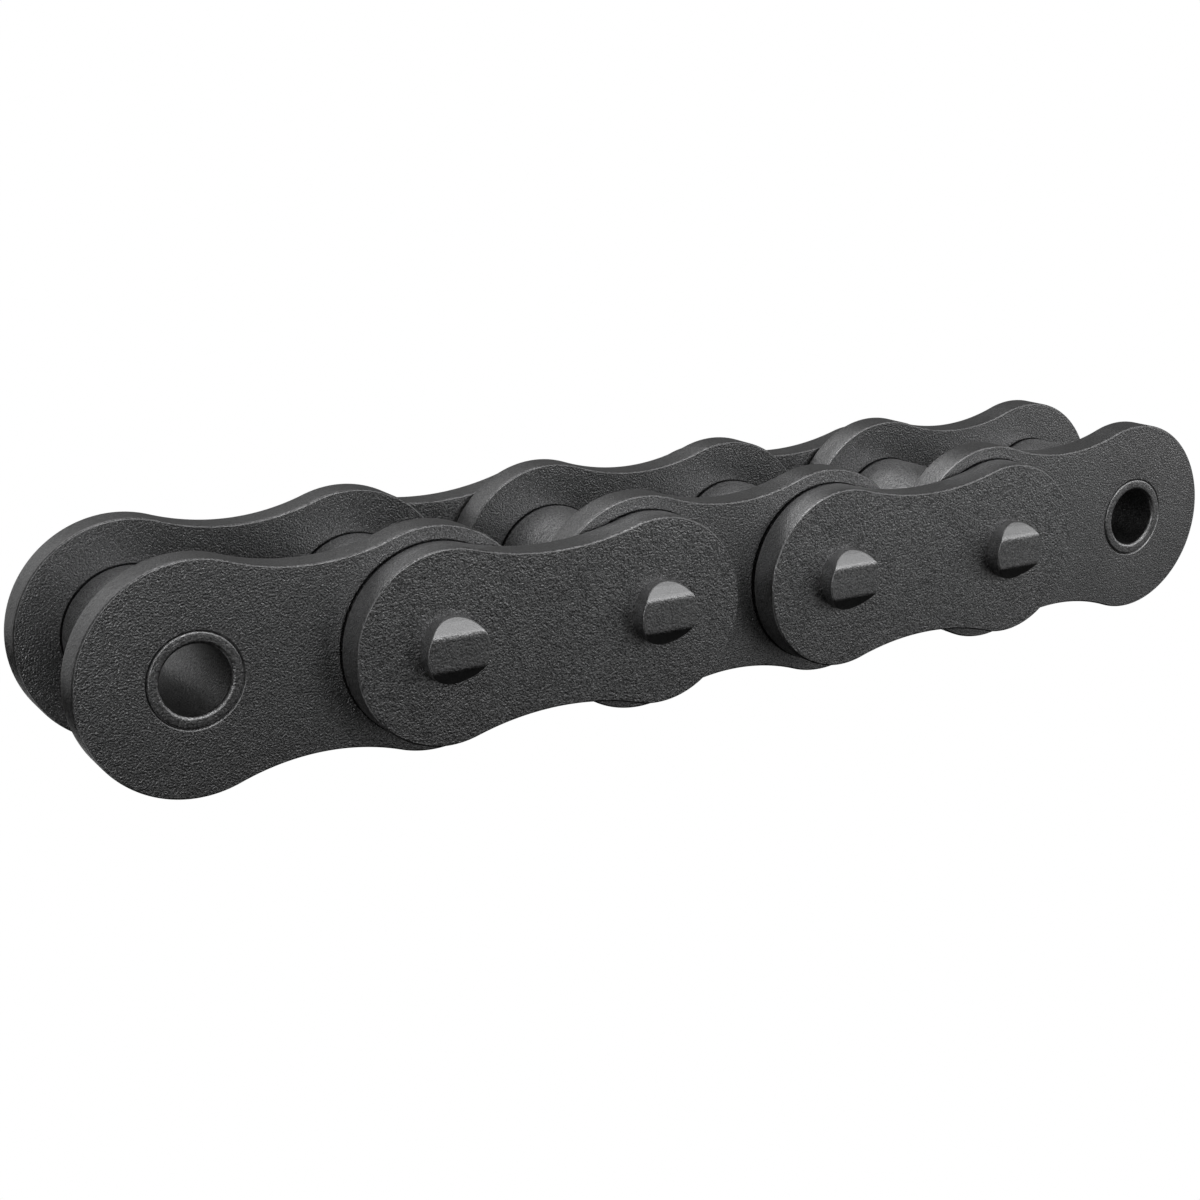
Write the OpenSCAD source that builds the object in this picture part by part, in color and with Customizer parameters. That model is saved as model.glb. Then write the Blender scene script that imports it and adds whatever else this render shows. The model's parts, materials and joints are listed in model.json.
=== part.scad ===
// A run of single strand heavy roller chain, lying straight along X, its joints turning about Y.
// The origin is the middle of the run, on the line through the joint centres.

/* [Chain] */
// Distance from one joint centre to the next
pitch = 50.8; // [46:0.1:64]
// Number of inner links, with an outer link between each two
inner_links = 3; // [2:1:6]
// Free width between the two plates of an inner link
inner_width = 32; // [24:0.1:44]
// Thickness of every link plate
plate_t = 7.15; // [4.5:0.05:9.5]
// Side gap between an inner plate and the outer plate over it
plate_gap = 0.5; // [0.35:0.05:1.5]

/* [Plate outlines] */
// Gap between the round ends of two inner plates in line
end_gap = 2.9; // [1:0.1:8]
// How far the waist of an inner plate dips below its round ends
inner_dip = 4.35; // [1:0.05:7]
// Height of an outer plate over its round ends
outer_plate_h = 41.5; // [34:0.1:45]
// How far the waist of an outer plate dips below its round ends
outer_dip = 3.7; // [1:0.05:6]
// Bevel along the edges of every link plate
edge_break = 0.35; // [0.1:0.05:0.8]

/* [Pins] */
// Diameter of a pin
pin_d = 14.27; // [11:0.01:17]
// How far a pin stands out of the outer plate
pin_stand = 3.9; // [3:0.1:6]
// Height of the flat band left across the end of a pin
crown_h = 7.4; // [5:0.1:10]
// Lean of the two flats pressed on a pin's end, measured from its end face
flat_angle = 35.5; // [20:0.5:42]
// Rounding of the edge of a pin's end
pin_round = 0.3; // [0.1:0.05:0.8]

/* [Bushes] */
// Wall of a bush
bush_wall = 2.55; // [2:0.05:3.5]
// How far a bush stands out of the inner plate
bush_stand = 0.15; // [0.05:0.05:0.25]
// Rounding of the mouth of a bush's bore
mouth_round = 0.75; // [0.2:0.05:1]
// Rounding of the outer rim of a bush
rim_round = 0.35; // [0.1:0.05:0.8]
// Bevel of the bush hole in an inner plate
hole_break = 0.45; // [0.1:0.05:0.8]

/* [Rollers] */
// Outer diameter of a roller
roller_d = 28.58; // [25.5:0.01:34]
// Rounding of a roller's edges
roller_round = 0.6; // [0.2:0.05:1.2]

/* [Fits] */
// Clearance all round between a pin and the bore of its bush
pin_play = 0.065; // [0.03:0.005:0.09]
// Clearance all round between a bush and the bore of its roller
roller_play = 0.08; // [0.04:0.005:0.1]
// Clearance between each end of a roller and the inner plate
roller_side_play = 0.3; // [0.15:0.05:0.6]
// Interference all round where a bush or a pin is pressed into a plate
press = 0.02; // [0.005:0.005:0.05]

/* [Hidden] */
$fn = 96;
SIDES = ["front", "back"];
ENDS = ["left", "right"];
outer_links = inner_links - 1;

// Radii, from the pin outwards
pin_r = pin_d / 2;
bush_bore_r = pin_r + pin_play;
bush_r = bush_bore_r + bush_wall;
roller_bore_r = bush_r + roller_play;
roller_r = roller_d / 2;

// Round ends of the plates
inner_end_r = (pitch - end_gap) / 2;
outer_end_r = outer_plate_h / 2;

// Places across the chain, measured from its middle plane
inner_face = inner_width / 2;
outer_face = inner_face + plate_t + plate_gap;
bush_half = inner_face + plate_t + bush_stand;
roller_half = inner_face - roller_side_play;
pin_half = outer_face + plate_t + pin_stand;

// How far a cutting shape reaches past what it cuts
over = 1;

// How deep a waist arc runs into the round ends, so that it crosses them and leaves no cusp
arc_bite = 0.005;

plate_colour = "#3b3b3d";
pin_colour = "#48484a";
bush_colour = "#434345";
roller_colour = "#4c4c4e";

function part_name(kind, i, where) = str(kind, "_", i, "_", where);

// Place along X of joint k, counted from 0 at the left end
function joint_x(k) = (k - inner_links + 1 / 2) * pitch;

// Joint at the left end (end = 0) or the right end (end = 1) of an inner and of an outer link
function inner_joint(i, end) = 2 * i - 2 + end;
function outer_joint(i, end) = 2 * i - 1 + end;

// Lays what is drawn upright across the chain, its Z along -Y
module across() rotate([90, 0, 0]) children();

// Seats what is drawn on a face at the given distance on the front or the back
module on_side(side, face) {
    mirror([0, side, 0]) across() translate([0, 0, face]) children();
}

// A round shape of half length half, centred on the middle plane of the chain
module centred(half) across() translate([0, 0, -half]) children();

// Section of a turned ring or rod of length len, with its corners rounded
module turned_section(r_in, r_out, len, round_in, round_out) {
    translate([r_in + round_in, 0])
        square([r_out - round_out - r_in - round_in, len]);
    translate([r_in, round_in])
        square([round_in + over / 2, len - 2 * round_in]);
    translate([r_out - round_out - over / 2, round_out])
        square([round_out + over / 2, len - 2 * round_out]);
    for (z = [round_in, len - round_in])
        translate([r_in + round_in, z]) circle(round_in);
    for (z = [round_out, len - round_out])
        translate([r_out - round_out, z]) circle(round_out);
}

// Cuts a round hole or hollow through a plate and bevels both of its edges
module flared_cut(r, bevel) {
    flare_r = r + bevel + over;
    rotate_extrude() polygon([
        [0, -over], [flare_r, -over], [r, bevel],
        [r, plate_t - bevel], [flare_r, plate_t + over], [0, plate_t + over]
    ]);
}

// A link plate on the XY plane, from the joint at the origin to the one at +pitch.
// Its round ends run without a corner into the two hollow arcs that make the waist.
module link_plate(end_r, dip) {
    // The radius at which an arc just touches both ends
    waist_y = end_r - dip;
    arc_r = ((pitch / 2) ^ 2 + waist_y ^ 2 - end_r ^ 2) / (2 * dip);
    arc_y = waist_y + arc_r;
    difference() {
        union() {
            for (x = [0, pitch]) translate([x, 0, 0]) rotate_extrude() polygon([
                [0, 0], [end_r - edge_break, 0], [end_r, edge_break],
                [end_r, plate_t - edge_break], [end_r - edge_break, plate_t], [0, plate_t]
            ]);
            linear_extrude(plate_t)
                polygon([[0, 0], [pitch / 2, arc_y], [pitch, 0], [pitch / 2, -arc_y]]);
        }
        for (y = [-arc_y, arc_y]) translate([pitch / 2, y, 0])
            flared_cut(arc_r + arc_bite, edge_break);
    }
}

// Plate of inner link i, pressed on the two bushes of the link
module inner_plate(i, side) {
    color(plate_colour) translate([joint_x(inner_joint(i, 0)), 0, 0]) on_side(side, inner_face)
        difference() {
            link_plate(inner_end_r, inner_dip);
            for (x = [0, pitch]) translate([x, 0, 0]) flared_cut(bush_r - press, hole_break);
        }
}

// Plate of outer link i, pressed on the two pins of the link
module outer_plate(i, side) {
    color(plate_colour) translate([joint_x(outer_joint(i, 0)), 0, 0]) on_side(side, outer_face)
        difference() {
            link_plate(outer_end_r, outer_dip);
            for (x = [0, pitch]) translate([x, 0, -over])
                cylinder(r = pin_r - press, h = plate_t + 2 * over);
        }
}

// Bush of inner link i, which carries a roller and turns on a pin
module bush(i, end) {
    color(bush_colour) translate([joint_x(inner_joint(i, end)), 0, 0]) centred(bush_half)
        rotate_extrude()
            turned_section(bush_bore_r, bush_r, 2 * bush_half, mouth_round, rim_round);
}

// Roller that turns freely on a bush of inner link i
module roller(i, end) {
    color(roller_colour) translate([joint_x(inner_joint(i, end)), 0, 0]) centred(roller_half)
        rotate_extrude()
            turned_section(roller_bore_r, roller_r, 2 * roller_half, roller_round, roller_round);
}

// Cuts the two sloping flats on the end of a pin that ends on the XY plane
module pressed_flats() {
    reach = pin_r + over;
    for (side = [0, 1]) mirror([0, side, 0])
        translate([-reach, 0, 0]) rotate([90, 0, 90]) linear_extrude(2 * reach) polygon([
            [crown_h / 2 - over / tan(flat_angle), over],
            [reach, over],
            [reach, -(reach - crown_h / 2) * tan(flat_angle)]
        ]);
}

// Pin of outer link i, with two flats pressed on each end that lock it in its plates
module pin(i, end) {
    color(pin_colour) translate([joint_x(outer_joint(i, end)), 0, 0]) across()
        difference() {
            rotate_extrude() translate([0, -pin_half]) {
                square([pin_r - pin_round, 2 * pin_half]);
                translate([0, pin_round]) square([pin_r, 2 * (pin_half - pin_round)]);
                for (z = [pin_round, 2 * pin_half - pin_round])
                    translate([pin_r - pin_round, z]) circle(pin_round);
            }
            for (tip = [0, 1]) mirror([0, 0, tip]) translate([0, 0, pin_half]) pressed_flats();
        }
}

for (i = [1 : inner_links]) for (k = [0, 1]) {
    inner_plate(i, k);
    bush(i, k);
    roller(i, k);
}
for (i = [1 : outer_links]) for (k = [0, 1]) {
    outer_plate(i, k);
    pin(i, k);
}
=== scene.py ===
import json
import math

import bpy
from mathutils import Matrix, Vector

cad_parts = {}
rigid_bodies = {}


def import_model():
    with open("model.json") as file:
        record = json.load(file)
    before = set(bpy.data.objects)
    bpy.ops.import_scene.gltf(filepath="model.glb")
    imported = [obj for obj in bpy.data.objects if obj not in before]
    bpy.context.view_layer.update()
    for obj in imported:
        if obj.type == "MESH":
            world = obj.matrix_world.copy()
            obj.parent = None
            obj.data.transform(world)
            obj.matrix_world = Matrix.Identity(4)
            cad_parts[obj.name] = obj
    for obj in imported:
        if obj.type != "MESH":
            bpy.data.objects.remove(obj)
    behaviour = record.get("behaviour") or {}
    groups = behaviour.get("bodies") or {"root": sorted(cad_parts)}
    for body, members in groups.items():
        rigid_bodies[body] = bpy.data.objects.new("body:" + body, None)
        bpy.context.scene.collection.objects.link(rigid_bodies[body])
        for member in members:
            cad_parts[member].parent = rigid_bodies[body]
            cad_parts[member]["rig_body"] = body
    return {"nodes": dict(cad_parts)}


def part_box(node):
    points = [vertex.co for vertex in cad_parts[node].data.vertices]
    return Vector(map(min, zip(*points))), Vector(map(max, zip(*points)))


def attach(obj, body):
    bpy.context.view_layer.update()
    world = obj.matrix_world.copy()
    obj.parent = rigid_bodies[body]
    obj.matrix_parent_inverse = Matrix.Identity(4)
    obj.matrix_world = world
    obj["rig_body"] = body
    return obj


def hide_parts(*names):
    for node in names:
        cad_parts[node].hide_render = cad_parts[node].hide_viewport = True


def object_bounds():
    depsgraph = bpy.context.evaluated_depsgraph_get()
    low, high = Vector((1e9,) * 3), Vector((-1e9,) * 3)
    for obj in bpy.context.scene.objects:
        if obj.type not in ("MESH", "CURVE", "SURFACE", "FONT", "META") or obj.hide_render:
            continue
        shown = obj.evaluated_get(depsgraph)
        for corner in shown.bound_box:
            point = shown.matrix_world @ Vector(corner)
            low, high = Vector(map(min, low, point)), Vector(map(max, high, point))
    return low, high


# A run of single strand heavy roller chain in dark satin steel, lying straight along X.
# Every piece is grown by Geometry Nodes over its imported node, from the node's own box.
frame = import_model()
CAD_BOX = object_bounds()

MM = 0.001


def round_radius(node):
    """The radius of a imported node's round ends, which is half its height."""
    low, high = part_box(node)
    return (high.z - low.z) / 2


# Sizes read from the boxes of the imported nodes. Depths are distances from the chain's middle plane.
PIN_RADIUS = round_radius("pin_1_left")
BUSH_RADIUS = round_radius("bush_1_left")
ROLLER_RADIUS = round_radius("roller_1_left")
OUTER_END_RADIUS = round_radius("outer_plate_1_front")
OUTER_LOW, OUTER_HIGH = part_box("outer_plate_1_front")
INNER_LOW, INNER_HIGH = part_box("inner_plate_1_front")
PITCH = OUTER_HIGH.x - OUTER_LOW.x - 2 * OUTER_END_RADIUS
OUTER_DEPTH = -OUTER_HIGH.y
INNER_MIDDLE_DEPTH = -(INNER_LOW.y + INNER_HIGH.y) / 2

# Sizes that the boxes don't give
WAIST_DIP = {"inner": 4.35 * MM, "outer": 3.7 * MM}
PLATE_EDGE = 0.35 * MM
BUSH_HOLE_EDGE = 0.45 * MM
PIN_HOLE_EDGE = 0.05 * MM
PRESS = 0.02 * MM
BUSH_WALL = 2.55 * MM
BUSH_MOUTH_ROUND = 0.85 * MM
BUSH_RIM_ROUND = 0.45 * MM
ROLLER_PLAY = 0.08 * MM
ROLLER_ROUND = 0.6 * MM
PIN_CROWN = 7.4 * MM
PIN_FLAT_ANGLE = math.radians(35.5)
PIN_EDGE = 0.3 * MM
PIN_CREASE = 0.7 * MM

# The dark finish that all the pieces share, with a slightly different tone on each kind of piece
STEEL_TONE = {"plate": 0.25, "pin": 0.253, "bush": 0.25, "roller": 0.27}
STEEL_ROUGHNESS = 0.34
BLUE_CAST = 1.01

# Its grain: fine bumps over broad ones, which are given by how many times larger and higher they are.
# A surface with less grain is hazier instead.
GRAIN_SIZE = 0.42 * MM
GRAIN_HEIGHT = 0.175 * MM
BROAD_GRAIN_SIZE = 3.7
BROAD_GRAIN_HEIGHT = 0.35
PIT_DEPTH = 2.75
SMOOTH_HAZE = 0.055

# How unevenly it took: clouds, and flecks whose size and strength are shares of those of the clouds
CLOUD_SIZE = 16 * MM
TONE_SPREAD = 0.3
ROUGHNESS_SPREAD = 0.08
FLECK_SIZE = 0.11
FLECK_TONE = 0.6
CLOUD_ROUGHNESS = 0.5

# Wear along the edges and the creases, broken up into patches where a noise around 0 is over its start
EDGE_WEAR = 0.05
CREASE_WEAR = 0.6
WORN_PATCH = 2.2 * MM
PATCH_START = -0.08
PATCH_CONTRAST = 5
BARE_TONE = 0.45
BARE_ROUGHNESS = 0.3

# Lines left by the lathe
LINE_SPACING = 0.3 * MM
LINE_HEIGHT = 0.002 * MM

# Rings of painted shade, darkening the tone in the narrow gaps between parts: the radius of each set,
# the depths between which it lies, and how far along X it goes.
# The edges of the outer plates sweep the outward faces of the inner plates, at the joints that have an
# outer plate, and the edges of the rollers sweep the inward faces at every joint; the shade is painted
# there.
GAP_SHADE_WIDTH = 0.32 * MM
GAP_SHADE_DARK = 0.85
GAP_SHADE_RINGS = [
    (OUTER_END_RADIUS, INNER_MIDDLE_DEPTH, OUTER_DEPTH, 2 * PITCH),
    (ROLLER_RADIUS, 0, INNER_MIDDLE_DEPTH, 3 * PITCH),
]

# The share of the grain that a surface has, from none to that of a blasted plate
OUTWARD_GRAIN = {"inner": 0.93, "outer": 1.0}
INWARD_GRAIN = 0.82
SIDE_GRAIN = 0.55
BUSH_GRAIN = 0.75
ROLLER_GRAIN = 0.9
PIN_END_GRAIN = 0.68
PIN_FLAT_GRAIN = 0.1
PIN_WALL_GRAIN = 0.4

# How finely the curved surfaces are divided
END_STEPS = 128
WAIST_STEPS = 40
HOLE_STEPS = 96
RING_STEPS = 160
ROUND_STEPS = 5
BEVEL_CUTS = 3
PIN_ROWS = 145
WELD = 0.001 * MM

NUMBER = "NodeSocketFloat"
VECTOR = "NodeSocketVector"
SHAPE = "NodeSocketGeometry"
MATERIAL = "NodeSocketMaterial"


# Wiring of node trees

class Number:
    """A number that runs along a wire of a node tree, and that can be reckoned with."""

    def __init__(self, wiring, socket):
        self.wiring = wiring
        self.socket = socket

    def __add__(self, other):
        return self.wiring.math("ADD", self, other)

    def __sub__(self, other):
        return self.wiring.math("SUBTRACT", self, other)

    def __rsub__(self, other):
        return self.wiring.math("SUBTRACT", other, self)

    def __mul__(self, other):
        return self.wiring.math("MULTIPLY", self, other)

    def __truediv__(self, other):
        return self.wiring.math("DIVIDE", self, other)

    def __rtruediv__(self, other):
        return self.wiring.math("DIVIDE", other, self)

    def __pow__(self, other):
        return self.wiring.math("POWER", self, other)

    def __neg__(self):
        return self.wiring.math("MULTIPLY", self, -1)

    __radd__ = __add__
    __rmul__ = __mul__


class Wiring:
    """Adds nodes to one tree, and feeds their sockets with plain values or from other nodes."""

    def __init__(self, tree):
        self.tree = tree

    def feed(self, socket, value):
        value = value.socket if isinstance(value, Number) else value
        if isinstance(value, bpy.types.NodeSocket):
            self.tree.links.new(value, socket)
        else:
            socket.default_value = value

    def add(self, kind, sockets=None, **settings):
        node = self.tree.nodes.new(kind)
        for name, value in settings.items():
            setattr(node, name, value)
        for name, value in (sockets or {}).items():
            self.feed(node.inputs[name], value)
        return node

    def math(self, operation, *values):
        node = self.add("ShaderNodeMath", operation=operation)
        for socket, value in zip(node.inputs, values):
            self.feed(socket, value)
        return Number(self, node.outputs[0])

    def limited(self, value):
        """The value kept between 0 and 1."""
        return Number(self, self.add("ShaderNodeClamp", {"Value": value}).outputs[0])

    def vector(self, x, y, z):
        return self.add("ShaderNodeCombineXYZ", {"X": x, "Y": y, "Z": z}).outputs[0]

    def parts(self, vector):
        """The X, Y and Z of a vector."""
        node = self.add("ShaderNodeSeparateXYZ", {0: vector})
        return [Number(self, socket) for socket in node.outputs]


class ShapeWiring(Wiring):
    """Wiring of a Geometry Nodes tree."""

    def here(self):
        """The X, Y and Z of each point."""
        return self.parts(self.add("GeometryNodeInputPosition").outputs[0])

    def join(self, *shapes):
        node = self.add("GeometryNodeJoinGeometry")
        for shape in shapes:
            self.feed(node.inputs[0], shape)
        return node.outputs[0]

    def moved(self, shape, offset=(0, 0, 0), turn=(0, 0, 0)):
        sockets = {"Geometry": shape, "Translation": offset, "Rotation": turn}
        return self.add("GeometryNodeTransform", sockets).outputs[0]

    def welded(self, shape):
        return self.add("GeometryNodeMergeByDistance", {"Geometry": shape, "Distance": WELD}).outputs[0]

    def turned_over(self, mesh):
        return self.add("GeometryNodeFlipFaces", {"Mesh": mesh}).outputs[0]

    def marked(self, shape, name, value, domain="POINT"):
        """The shape with a number kept on it that the materials read."""
        sockets = {"Geometry": shape, "Name": name, "Value": value}
        node = self.add("GeometryNodeStoreNamedAttribute", sockets, data_type="FLOAT", domain=domain)
        return node.outputs[0]

    def section(self, width, height, radius, steps, closed):
        """A rectangle with its corners rounded in steps, and with its left side open unless closed."""
        node = self.add("GeometryNodeCurvePrimitiveQuadrilateral", mode="POINTS")
        for k, (x, y) in enumerate([(0, 0), (width, 0), (width, height), (0, height)]):
            self.feed(node.inputs[f"Point {k + 1}"], self.vector(x, y, 0))
        sockets = {"Geometry": node.outputs[0], "Cyclic": closed}
        outline = self.add("GeometryNodeSetSplineCyclic", sockets).outputs[0]
        sockets = {"Curve": outline, "Count": steps, "Radius": radius, "Limit Radius": True}
        return self.add("GeometryNodeFilletCurve", sockets, mode="POLY").outputs[0]

    def swept(self, path, section):
        """The section drawn along a path on the XY plane, its X to the right and its Y downwards."""
        upright = self.add("GeometryNodeSetCurveNormal", {"Curve": path}, mode="Z_UP")
        sockets = {"Curve": upright.outputs[0], "Profile Curve": section}
        return self.add("GeometryNodeCurveToMesh", sockets).outputs[0]

    def finish(self, shape, offset):
        """Lays the shape across the chain, its Z along -Y, sets it in place and ends the tree."""
        shape = self.moved(self.welded(shape), offset, (math.pi / 2, 0, 0))
        shape = self.add("GeometryNodeRealizeInstances", {"Geometry": shape}).outputs[0]
        sockets = {"Geometry": shape, "Shade Smooth": True}
        shape = self.add("GeometryNodeSetShadeSmooth", sockets).outputs[0]
        sockets = {"Geometry": shape, "Material": self.given["Steel"]}
        self.feed(self.result["Shape"], self.add("GeometryNodeSetMaterial", sockets).outputs[0])


def new_group(name, tree_kind, wiring_kind, inputs, outputs):
    """A node group with named sockets. Its wiring has them as given and result."""
    tree = bpy.data.node_groups.new(name, tree_kind)
    for way, sockets in (("INPUT", inputs), ("OUTPUT", outputs)):
        for socket_name, socket_kind in sockets.items():
            tree.interface.new_socket(socket_name, in_out=way, socket_type=socket_kind)
    w = wiring_kind(tree)
    ends = w.add("NodeGroupInput").outputs
    w.given = {s.name: Number(w, s) if s.type == "VALUE" else s for s in ends if s.name}
    w.result = w.add("NodeGroupOutput").inputs
    return w


def shape_tree(name, sizes):
    """A Geometry Nodes tree that makes one solid from named sizes, a place and a material."""
    inputs = {size: NUMBER for size in sizes}
    inputs.update({"Place": VECTOR, "Steel": MATERIAL})
    return new_group(name, "GeometryNodeTree", ShapeWiring, inputs, {"Shape": SHAPE})


def edge_mask(w, reach):
    """1 in the middle of a rounded edge and 0 past it. Reach runs from 0 to 1 across the edge."""
    return w.math("MAXIMUM", 4 * reach * (1 - reach), 0)


# Link plates

def closed_outline(w, arcs):
    """One closed curve through arcs that meet end to end.

    Each is given by its centre, radius, start, sweep and steps."""
    curves = []
    for x, y, radius, start, sweep, steps in arcs:
        sockets = {"Resolution": steps + 1, "Radius": radius,
                   "Start Angle": start, "Sweep Angle": sweep}
        arc = w.add("GeometryNodeCurveArc", sockets, mode="RADIUS")
        curves.append(w.moved(arc.outputs["Curve"], w.vector(x, y, 0)))
    wire = w.add("GeometryNodeCurveToMesh", {"Curve": w.join(*curves)})
    return w.add("GeometryNodeMeshToCurve", {"Mesh": w.welded(wire.outputs[0])}).outputs[0]


def plate_side(w, path, edge, thickness):
    """The side of a plate along a path on its face, with both of its edges bevelled."""
    bevelled = w.section(edge, thickness, edge, 1, False)
    divided = w.add("GeometryNodeSubdivideCurve", {"Curve": bevelled, "Cuts": BEVEL_CUTS})
    side = w.swept(path, divided.outputs[0])
    z = w.here()[2]
    reach = w.math("MINIMUM", -z, thickness + z) / edge
    return w.marked(side, "edge", edge_mask(w, reach))


def link_plate_tree():
    """A figure-eight plate with two holes. Its round ends run smoothly into the arcs of its waist."""
    w = shape_tree("link plate", ["Pitch", "End Radius", "Waist Dip", "Thickness", "Edge",
                                  "Hole Radius", "Hole Edge", "Front Grain", "Back Grain",
                                  "Side Grain"])
    pitch = w.given["Pitch"]
    end_r = w.given["End Radius"]
    edge = w.given["Edge"]
    thickness = w.given["Thickness"]

    half = pitch / 2
    waist = end_r - w.given["Waist Dip"]
    arc_r = (half ** 2 + waist ** 2 - end_r ** 2) / (2 * w.given["Waist Dip"])
    arc_y = waist + arc_r
    touch = w.math("ARCTAN2", arc_y, half)
    round_r = end_r - edge
    hollow_r = arc_r + edge
    hollow_sweep = 2 * touch - math.pi
    face_line = closed_outline(w, [
        (0, 0, round_r, touch, 2 * math.pi - 2 * touch, END_STEPS),
        (half, -arc_y, hollow_r, math.pi - touch, hollow_sweep, WAIST_STEPS),
        (pitch, 0, round_r, touch - math.pi, 2 * math.pi - 2 * touch, END_STEPS),
        (half, arc_y, hollow_r, -touch, hollow_sweep, WAIST_STEPS),
    ])

    hole_edge = w.given["Hole Edge"]
    sockets = {"Resolution": HOLE_STEPS, "Radius": w.given["Hole Radius"] + hole_edge}
    circle = w.add("GeometryNodeCurvePrimitiveCircle", sockets).outputs[0]
    inwards = w.add("GeometryNodeReverseCurve", {"Curve": circle}).outputs[0]
    hole_lines = w.join(inwards, w.moved(inwards, w.vector(pitch, 0, 0)))

    outside = plate_side(w, face_line, edge, thickness)
    sides = w.join(outside, plate_side(w, hole_lines, hole_edge, thickness))
    outlines = w.join(face_line, hole_lines)
    face = w.add("GeometryNodeFillCurve", {"Curve": outlines}, mode="TRIANGLES").outputs[0]
    back = w.moved(w.turned_over(face), w.vector(0, 0, -thickness))
    surfaces = {"Front Grain": face, "Back Grain": back, "Side Grain": sides}
    grained = [w.marked(surface, "grain", w.given[name], "FACE") for name, surface in surfaces.items()]
    w.finish(w.join(*grained), w.given["Place"])
    return w.tree


# Bushes and rollers

def turned_ring_tree():
    """A turned sleeve with the edges of its bore and of its outside rounded."""
    w = shape_tree("turned ring", ["Outer Radius", "Wall", "Length", "Bore Round", "Outer Round",
                                   "Grain"])
    wall = w.given["Wall"]
    length = w.given["Length"]
    bore_r = w.given["Outer Radius"] - wall

    def pick_round(outside):
        return w.given["Bore Round"] + outside * (w.given["Outer Round"] - w.given["Bore Round"])

    radius = pick_round(w.math("GREATER_THAN", w.here()[0], wall / 2))
    circle = w.add("GeometryNodeCurvePrimitiveCircle", {"Resolution": RING_STEPS, "Radius": bore_r})
    ring = w.swept(circle.outputs[0], w.section(wall, length, radius, ROUND_STEPS, True))

    x, y, z = w.here()
    from_axis = w.math("SQRT", x ** 2 + y ** 2)
    outside = w.math("GREATER_THAN", from_axis, bore_r + wall / 2)
    reach = w.math("MINIMUM", -z, length + z) / pick_round(outside)
    ring = w.marked(ring, "edge", edge_mask(w, reach))
    ring = w.marked(ring, "grain", w.given["Grain"])
    w.finish(w.marked(ring, "from_axis", from_axis), w.given["Place"])
    return w.tree


# Pins

def staked_pin_tree():
    """A pin with two sloping flats pressed on each end, which lock it in its plates."""
    w = shape_tree("staked pin", ["Radius", "Length", "Crown Height", "Flat Angle", "Edge", "Crease",
                                  "End Grain", "Flat Grain", "Wall Grain"])
    edge = w.given["Edge"]
    columns = 2 * (ROUND_STEPS + 2)

    # A sheet whose rows go from the pin's middle up one side, across its end and down the other
    sockets = {"Size X": columns - 1, "Size Y": math.pi,
               "Vertices X": columns, "Vertices Y": PIN_ROWS}
    sheet = w.add("GeometryNodeMeshGrid", sockets).outputs[0]
    column, angle, _ = w.here()
    steps_out = w.math("ABSOLUTE", column) - 0.5
    rounding = w.limited(steps_out / ROUND_STEPS)
    turn = rounding * (math.pi / 2)
    out = w.given["Radius"] - edge + edge * w.math("SINE", turn)
    across = out * w.math("COSINE", angle) * w.math("SIGN", column)
    up = out * w.math("SINE", angle)

    past_crown = w.math("ABSOLUTE", up) - w.given["Crown Height"] / 2
    slope = w.math("TANGENT", w.given["Flat Angle"])
    sunk = w.math("SMOOTH_MAX", past_crown * slope, 0, w.given["Crease"])
    at_end = w.math("LESS_THAN", steps_out, ROUND_STEPS + 0.5)
    height = (w.given["Length"] / 2 - sunk - edge * (1 - w.math("COSINE", turn))) * at_end

    # The marks go on while the points still lie in their rows and columns
    crease = w.limited(1 - w.math("ABSOLUTE", past_crown) / w.given["Crease"])
    worn = w.math("MAXIMUM", edge_mask(w, rounding), crease * CREASE_WEAR * at_end)
    sheet = w.marked(sheet, "edge", worn)
    pressed = w.limited(past_crown / w.given["Crease"])
    end_grain = w.given["End Grain"] + pressed * (w.given["Flat Grain"] - w.given["End Grain"])
    wall_grain = w.given["Wall Grain"]
    sheet = w.marked(sheet, "grain", wall_grain + at_end * (end_grain - wall_grain))
    sockets = {"Geometry": sheet, "Position": w.vector(across, up, height)}
    half = w.add("GeometryNodeSetPosition", sockets).outputs[0]
    w.finish(w.join(half, w.moved(half, turn=(math.pi, 0, 0))), w.given["Place"])
    return w.tree


# Growing the pieces

def grow(name, tree, sizes):
    """Runs a tree with the given sizes and returns the result as a piece of plain mesh."""
    piece = bpy.data.objects.new(name, bpy.data.meshes.new(name))
    bpy.context.scene.collection.objects.link(piece)
    grower = piece.modifiers.new("grower", "NODES")
    grower.node_group = tree
    for item in tree.interface.items_tree:
        if item.in_out == "INPUT":
            grower[item.identifier] = sizes[item.name]
    weigh = piece.modifiers.new("flats shade flat", "WEIGHTED_NORMAL")
    weigh.mode = "FACE_AREA"
    depsgraph = bpy.context.evaluated_depsgraph_get()
    grown = piece.evaluated_get(depsgraph)
    mesh = bpy.data.meshes.new_from_object(grown, preserve_all_data_layers=True, depsgraph=depsgraph)
    mesh.name = name
    piece.modifiers.clear()
    piece.data = mesh
    return piece


def dress(node, tree, sizes):
    """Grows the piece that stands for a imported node, riding on the node's own body."""
    piece = grow("finished_" + node, tree, sizes)
    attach(piece, frame["nodes"][node]["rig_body"])
    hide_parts(node)


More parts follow.
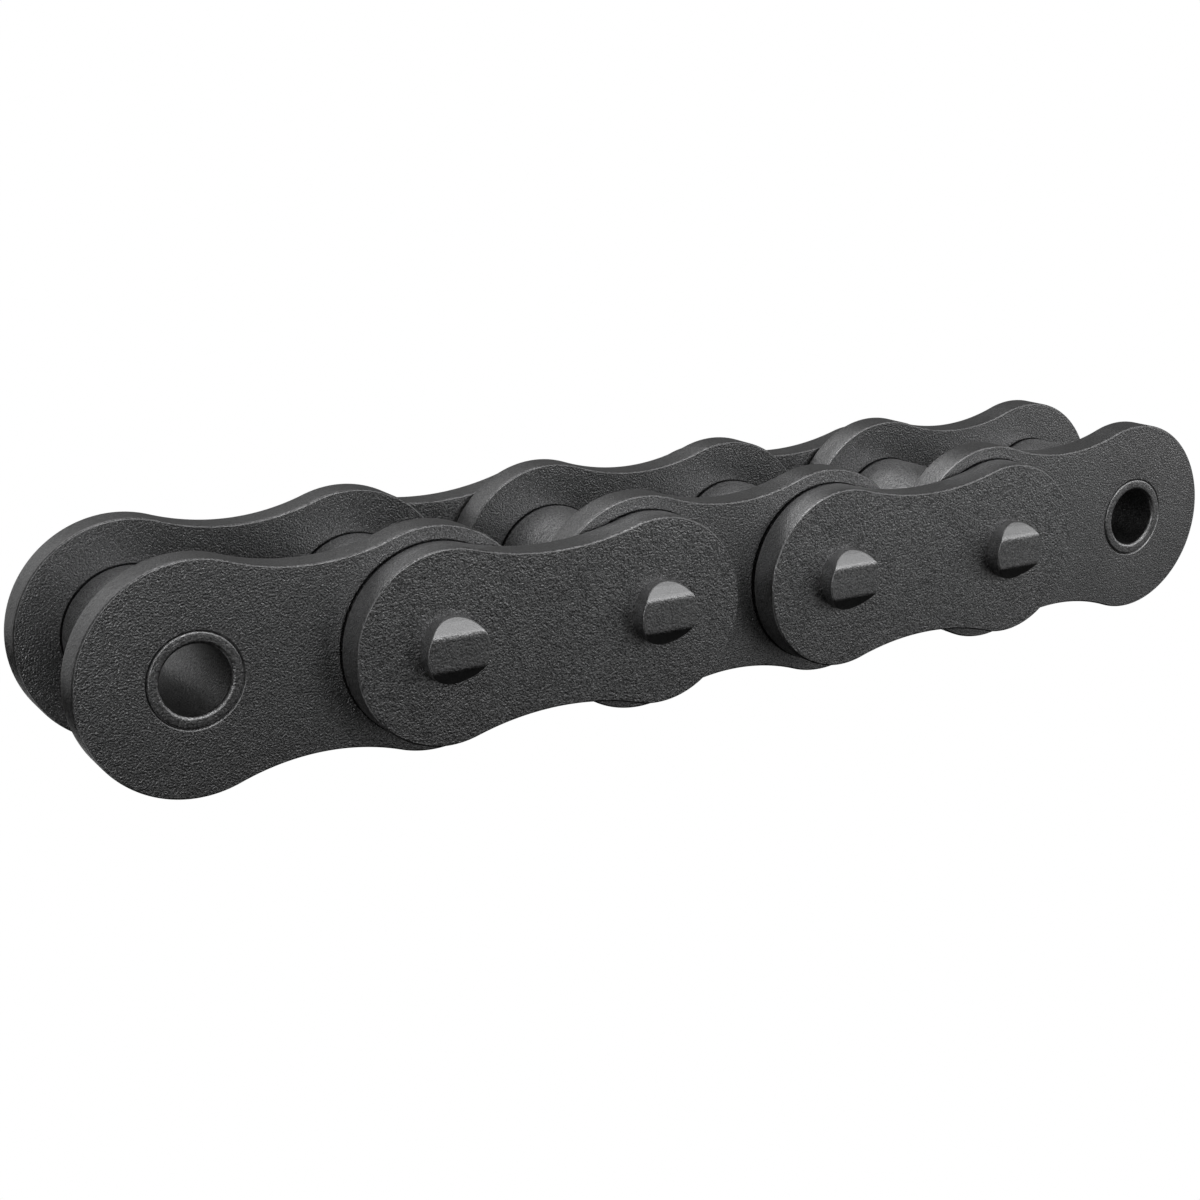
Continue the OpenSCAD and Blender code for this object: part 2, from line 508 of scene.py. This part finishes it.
def dress_link_plate(node, tree, kind, hole_r, hole_edge, steel):
    low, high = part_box(node)
    end_r = round_radius(node)
    front_grain, back_grain = OUTWARD_GRAIN[kind], INWARD_GRAIN
    if low.y > 0:
        front_grain, back_grain = back_grain, front_grain
    sizes = {"Pitch": high.x - low.x - 2 * end_r, "End Radius": end_r, "Waist Dip": WAIST_DIP[kind],
             "Thickness": high.y - low.y, "Edge": PLATE_EDGE, "Hole Radius": hole_r,
             "Hole Edge": hole_edge, "Front Grain": front_grain, "Back Grain": back_grain,
             "Side Grain": SIDE_GRAIN, "Place": (low.x + end_r, low.y, 0), "Steel": steel}
    dress(node, tree, sizes)


def dress_ring(node, tree, bore_r, bore_round, outer_round, grain, steel):
    low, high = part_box(node)
    outer_r = round_radius(node)
    sizes = {"Outer Radius": outer_r, "Wall": outer_r - bore_r, "Length": high.y - low.y,
             "Bore Round": bore_round, "Outer Round": outer_round, "Grain": grain,
             "Place": ((low.x + high.x) / 2, low.y, 0), "Steel": steel}
    dress(node, tree, sizes)


def dress_pin(node, tree, steel):
    low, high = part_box(node)
    sizes = {"Radius": round_radius(node), "Length": high.y - low.y, "Crown Height": PIN_CROWN,
             "Flat Angle": PIN_FLAT_ANGLE, "Edge": PIN_EDGE, "Crease": PIN_CREASE,
             "End Grain": PIN_END_GRAIN, "Flat Grain": PIN_FLAT_GRAIN, "Wall Grain": PIN_WALL_GRAIN,
             "Place": ((low.x + high.x) / 2, 0, 0), "Steel": steel}
    dress(node, tree, sizes)


# Finishes

def new_shader_group(name, inputs, outputs):
    return new_group(name, "ShaderNodeTree", Wiring, inputs, outputs)


def noise(w, place, size, detail=2.0):
    """Noise around 0 whose features are about the given size."""
    sockets = {"Vector": place, "Scale": 1 / size, "Detail": detail, "Roughness": 0.5}
    return Number(w, w.add("ShaderNodeTexNoise", sockets).outputs[0]) - 0.5


def grain_group():
    """The fine sand-like grain of blasted steel, as a height and as a tone, darker in its pits."""
    inputs = {"Place": VECTOR, "Grain Size": NUMBER, "Tone": NUMBER, "Pit Depth": NUMBER}
    w = new_shader_group("blasted grain", inputs, {"Height": NUMBER, "Tone": NUMBER})
    size = w.given["Grain Size"]
    fine = noise(w, w.given["Place"], size)
    broad = noise(w, w.given["Place"], size * BROAD_GRAIN_SIZE)
    w.feed(w.result["Height"], fine + BROAD_GRAIN_HEIGHT * broad)
    w.feed(w.result["Tone"], w.given["Tone"] * (1 + w.given["Pit Depth"] * fine))
    return w.tree


def turned_lines_group():
    """Fine lines around the axis of a turned piece, left by the lathe, as a height."""
    inputs = {"Along": NUMBER, "Out": NUMBER, "Spacing": NUMBER}
    w = new_shader_group("turned lines", inputs, {"Height": NUMBER})
    position = (w.given["Along"] + w.given["Out"]) / w.given["Spacing"]
    sockets = {"W": position, "Scale": 1.0, "Detail": 2.0}
    lines = w.add("ShaderNodeTexNoise", sockets, noise_dimensions="1D")
    w.feed(w.result["Height"], lines.outputs[0])
    return w.tree


def uneven_finish_group():
    """A dark finish that took a little unevenly, in broad clouds and in small flecks."""
    inputs = {"Place": VECTOR, "Cloud Size": NUMBER, "Tone": NUMBER, "Tone Spread": NUMBER,
              "Roughness": NUMBER, "Roughness Spread": NUMBER}
    w = new_shader_group("uneven finish", inputs, {"Tone": NUMBER, "Roughness": NUMBER})
    size = w.given["Cloud Size"]
    clouds = noise(w, w.given["Place"], size, detail=3.0)
    flecks = noise(w, w.given["Place"], size * FLECK_SIZE, detail=3.0)
    tone_drift = w.given["Tone Spread"] * (clouds + FLECK_TONE * flecks)
    roughness_drift = w.given["Roughness Spread"] * (flecks - CLOUD_ROUGHNESS * clouds)
    w.feed(w.result["Tone"], w.given["Tone"] * (1 + tone_drift))
    w.feed(w.result["Roughness"], w.given["Roughness"] + roughness_drift)
    return w.tree


def worn_edge_group():
    """Where an edge rubs, the finish thins and the steel shines through in places."""
    inputs = {"Place": VECTOR, "Edge": NUMBER, "Wear": NUMBER, "Tone": NUMBER, "Bare Tone": NUMBER,
              "Roughness": NUMBER, "Bare Roughness": NUMBER}
    w = new_shader_group("worn edge", inputs, {"Tone": NUMBER, "Roughness": NUMBER})
    patches = noise(w, w.given["Place"], WORN_PATCH, detail=4.0) - PATCH_START
    worn = w.given["Wear"] * w.given["Edge"] * w.limited(patches * PATCH_CONTRAST)
    for what in ("Tone", "Roughness"):
        w.feed(w.result[what], w.given[what] + worn * (w.given["Bare " + what] - w.given[what]))
    return w.tree


def gap_shade_ring_group():
    """A thin ring of painted shade round each joint, darkening the gap where another piece sweeps a
    plate with its edge.

    It lies on what is between Nearest and Farthest from the chain's middle plane, and goes no farther
    along X than Reach."""
    inputs = {"Place": VECTOR, "Pitch": NUMBER, "Ring Radius": NUMBER, "Ring Width": NUMBER,
              "Nearest": NUMBER, "Farthest": NUMBER, "Reach": NUMBER}
    w = new_shader_group("painted gap shade ring", inputs, {"Mask": NUMBER})
    x, y, z = w.parts(w.given["Place"])
    pitch = w.given["Pitch"]
    along = (w.math("FRACT", x / pitch) - 0.5) * pitch
    from_joint = w.math("SQRT", along ** 2 + z ** 2)
    off_ring = w.math("ABSOLUTE", from_joint - w.given["Ring Radius"])
    ring = w.limited(2 - 2 * off_ring / w.given["Ring Width"])
    depth = w.math("ABSOLUTE", y)
    past_nearest = w.math("GREATER_THAN", depth, w.given["Nearest"])
    short_of_farthest = w.math("LESS_THAN", depth, w.given["Farthest"])
    within_reach = w.math("LESS_THAN", w.math("ABSOLUTE", x), w.given["Reach"])
    w.feed(w.result["Mask"], ring * (past_nearest * short_of_farthest) * within_reach)
    return w.tree


GRAIN = grain_group()
TURNED_LINES = turned_lines_group()
UNEVEN_FINISH = uneven_finish_group()
WORN_EDGE = worn_edge_group()
GAP_SHADE_RING = gap_shade_ring_group()


def use_group(w, tree, values):
    node = w.add("ShaderNodeGroup", values, node_tree=tree)
    return {socket.name: Number(w, socket) for socket in node.outputs}


def dark_steel(kind, turned=False, gap_shade_rings=()):
    """Dark satin steel for one kind of piece: a blackened finish over grain, worn along the edges, with
    painted shade darkening the tone in any gap rings given.

    Turned pieces have fine lines around them as well."""
    material = bpy.data.materials.new(kind + " steel")
    material.use_nodes = True
    w = Wiring(material.node_tree)
    shader = material.node_tree.nodes["Principled BSDF"]
    place = w.add("ShaderNodeTexCoord").outputs["Object"]
    edge = w.add("ShaderNodeAttribute", attribute_name="edge").outputs["Fac"]

    finish = use_group(w, UNEVEN_FINISH, {
        "Place": place, "Cloud Size": CLOUD_SIZE, "Tone": STEEL_TONE[kind],
        "Tone Spread": TONE_SPREAD, "Roughness": STEEL_ROUGHNESS, "Roughness Spread": ROUGHNESS_SPREAD})
    finish = use_group(w, WORN_EDGE, {
        "Place": place, "Edge": edge, "Wear": EDGE_WEAR, "Tone": finish["Tone"],
        "Bare Tone": BARE_TONE, "Roughness": finish["Roughness"], "Bare Roughness": BARE_ROUGHNESS})
    share = Number(w, w.add("ShaderNodeAttribute", attribute_name="grain").outputs["Fac"])
    grain = use_group(w, GRAIN, {
        "Place": place, "Grain Size": GRAIN_SIZE, "Tone": finish["Tone"],
        "Pit Depth": PIT_DEPTH * share})
    height = grain["Height"] * GRAIN_HEIGHT * share
    tone = grain["Tone"]
    # Painted shade: each ring darkens the tone where parts meet in a narrow gap, standing in for the
    # shadow there.
    for radius, nearest, farthest, reach in gap_shade_rings:
        gap_shade = use_group(w, GAP_SHADE_RING, {
            "Place": place, "Pitch": PITCH, "Ring Radius": radius, "Ring Width": GAP_SHADE_WIDTH,
            "Nearest": nearest, "Farthest": farthest, "Reach": reach})
        tone = tone * (1 - GAP_SHADE_DARK * gap_shade["Mask"])
    if turned:
        from_axis = w.add("ShaderNodeAttribute", attribute_name="from_axis").outputs["Fac"]
        lines = use_group(w, TURNED_LINES, {
            "Along": w.parts(place)[1], "Out": from_axis, "Spacing": LINE_SPACING})
        height = height + lines["Height"] * LINE_HEIGHT
    bump = w.add("ShaderNodeBump", {"Height": height, "Distance": 1.0, "Strength": 1.0})

    channels = {"Red": tone, "Green": tone, "Blue": tone * BLUE_CAST}
    w.feed(shader.inputs["Base Color"], w.add("ShaderNodeCombineColor", channels).outputs[0])
    w.feed(shader.inputs["Roughness"], finish["Roughness"] + SMOOTH_HAZE * (1 - share))
    w.feed(shader.inputs["Metallic"], 1.0)
    w.feed(shader.inputs["Normal"], bump.outputs[0])
    return material


# Camera, stage and light

CAMERA_PLACE = Vector((-0.24249, -0.35370, 0.11240))
CAMERA_AHEAD = Vector((0.5098, 0.8162, -0.2720))
CAMERA_RIGHT = Vector((0.8479, -0.5302, -0.0018))
LENS = 56.43
SENSOR_WIDTH = 36
NEAREST_SEEN = 0.01
WHITE = (1, 1, 1, 1)
FLOOR_REACH = 20.0
FLOOR_DROP = 0.12
DOME_LIGHT = 0.152
DOME_FADE = (-0.25, 0.25)

# Softboxes: azimuth from the front and elevation in degrees, power in watts
SOFTBOX_SIDE = 0.6
SOFTBOX_AWAY = 1.2
SOFTBOXES = [
    ("low left softbox", -90, -45, 0.78),
    ("front left softbox", -25, 8, 2.50),
    ("high softbox", 0, 50, 3.45),
    ("low key softbox", 35, -12, 0.30),
    ("key softbox", 35, 25, 2.07),
    ("high key softbox", 38, 40, 0.96),
    ("low right softbox", 70, -12, 0.22),
    ("right softbox", 70, 15, 2.00),
    ("rim softbox", -160, 0, 0.43),
    ("left back softbox", -150, 30, 0.42),
    ("high left back softbox", -135, 55, 1.63),
    ("far softbox", 180, 60, 1.63),
    ("low back softbox", 172, -20, 0.80),
    ("low right back softbox", 125, -20, 0.80),
]


def make_camera():
    ahead = CAMERA_AHEAD.normalized()
    up = CAMERA_RIGHT.cross(ahead).normalized()
    right = ahead.cross(up)
    data = bpy.data.cameras.new("camera")
    data.lens = LENS
    data.sensor_width = SENSOR_WIDTH
    data.clip_start = NEAREST_SEEN
    camera = bpy.data.objects.new("camera", data)
    bpy.context.scene.collection.objects.link(camera)
    turn = Matrix((right, up, -ahead)).transposed().to_4x4()
    camera.matrix_world = Matrix.Translation(CAMERA_PLACE) @ turn
    bpy.context.scene.camera = camera


def make_floor():
    """A plain white floor, low enough that the chain clears it curled up either way.

    It neither lights the chain nor shades it."""
    height = CAD_BOX[0].z - FLOOR_DROP
    square = ((-1, -1), (1, -1), (1, 1), (-1, 1))
    corners = [(x * FLOOR_REACH, y * FLOOR_REACH, height) for x, y in square]
    mesh = bpy.data.meshes.new("floor")
    mesh.from_pydata(corners, [], [(0, 1, 2, 3)])
    floor = bpy.data.objects.new("floor", mesh)
    bpy.context.scene.collection.objects.link(floor)
    floor.visible_shadow = False
    floor.visible_diffuse = False
    floor.visible_glossy = False
    material = bpy.data.materials.new("pale floor")
    material.use_nodes = True
    w = Wiring(material.node_tree)
    white = w.add("ShaderNodeEmission", {"Color": WHITE, "Strength": 1.0})
    w.feed(material.node_tree.nodes["Material Output"].inputs["Surface"], white.outputs[0])
    mesh.materials.append(material)


def make_light(name, azimuth, elevation, power):
    turn = math.radians(azimuth)
    rise = math.radians(elevation)
    level = math.cos(rise)
    towards = Vector((math.sin(turn) * level, -math.cos(turn) * level, math.sin(rise)))
    data = bpy.data.lights.new(name, "AREA")
    data.shape = "SQUARE"
    data.size = SOFTBOX_SIDE
    data.energy = power
    light = bpy.data.objects.new(name, data)
    bpy.context.scene.collection.objects.link(light)
    light.location = towards * SOFTBOX_AWAY
    light.rotation_mode = "QUATERNION"
    light.rotation_quaternion = (-towards).to_track_quat("-Z", "Y")


def make_world():
    """A dome of even light that fades out below the horizon. The camera sees it as plain white."""
    world = bpy.data.worlds.new("studio dome")
    bpy.context.scene.world = world
    world.use_nodes = True
    world.node_tree.nodes.clear()
    w = Wiring(world.node_tree)
    rise = w.parts(w.add("ShaderNodeTexCoord").outputs["Generated"])[2]
    low_end, high_end = DOME_FADE
    light = DOME_LIGHT * w.limited((rise - low_end) / (high_end - low_end))
    seen = Number(w, w.add("ShaderNodeLightPath").outputs["Is Camera Ray"])
    sockets = {"Color": WHITE, "Strength": light + seen * (1 - light)}
    sky = w.add("ShaderNodeBackground", sockets)
    w.add("ShaderNodeOutputWorld", {"Surface": sky.outputs[0]})


make_camera()

# The plates carry rings of painted shade in the gaps at the joints.
plate_steel = dark_steel("plate", gap_shade_rings=GAP_SHADE_RINGS)
pin_steel = dark_steel("pin")
bush_steel = dark_steel("bush", turned=True)
roller_steel = dark_steel("roller", turned=True)

plate_tree = link_plate_tree()
ring_tree = turned_ring_tree()
pin_tree = staked_pin_tree()

for node in frame["nodes"]:
    kind = node.split("_")[0]
    if kind == "inner":
        dress_link_plate(node, plate_tree, kind, BUSH_RADIUS - PRESS, BUSH_HOLE_EDGE, plate_steel)
    elif kind == "outer":
        dress_link_plate(node, plate_tree, kind, PIN_RADIUS - PRESS, PIN_HOLE_EDGE, plate_steel)
    elif kind == "bush":
        dress_ring(node, ring_tree, BUSH_RADIUS - BUSH_WALL, BUSH_MOUTH_ROUND, BUSH_RIM_ROUND,
                   BUSH_GRAIN, bush_steel)
    elif kind == "roller":
        dress_ring(node, ring_tree, BUSH_RADIUS + ROLLER_PLAY, ROLLER_ROUND, ROLLER_ROUND,
                   ROLLER_GRAIN, roller_steel)
    else:
        dress_pin(node, pin_tree, pin_steel)

make_floor()
make_world()
for light in SOFTBOXES:
    make_light(*light)
bpy.context.scene.view_settings.view_transform = "Standard"
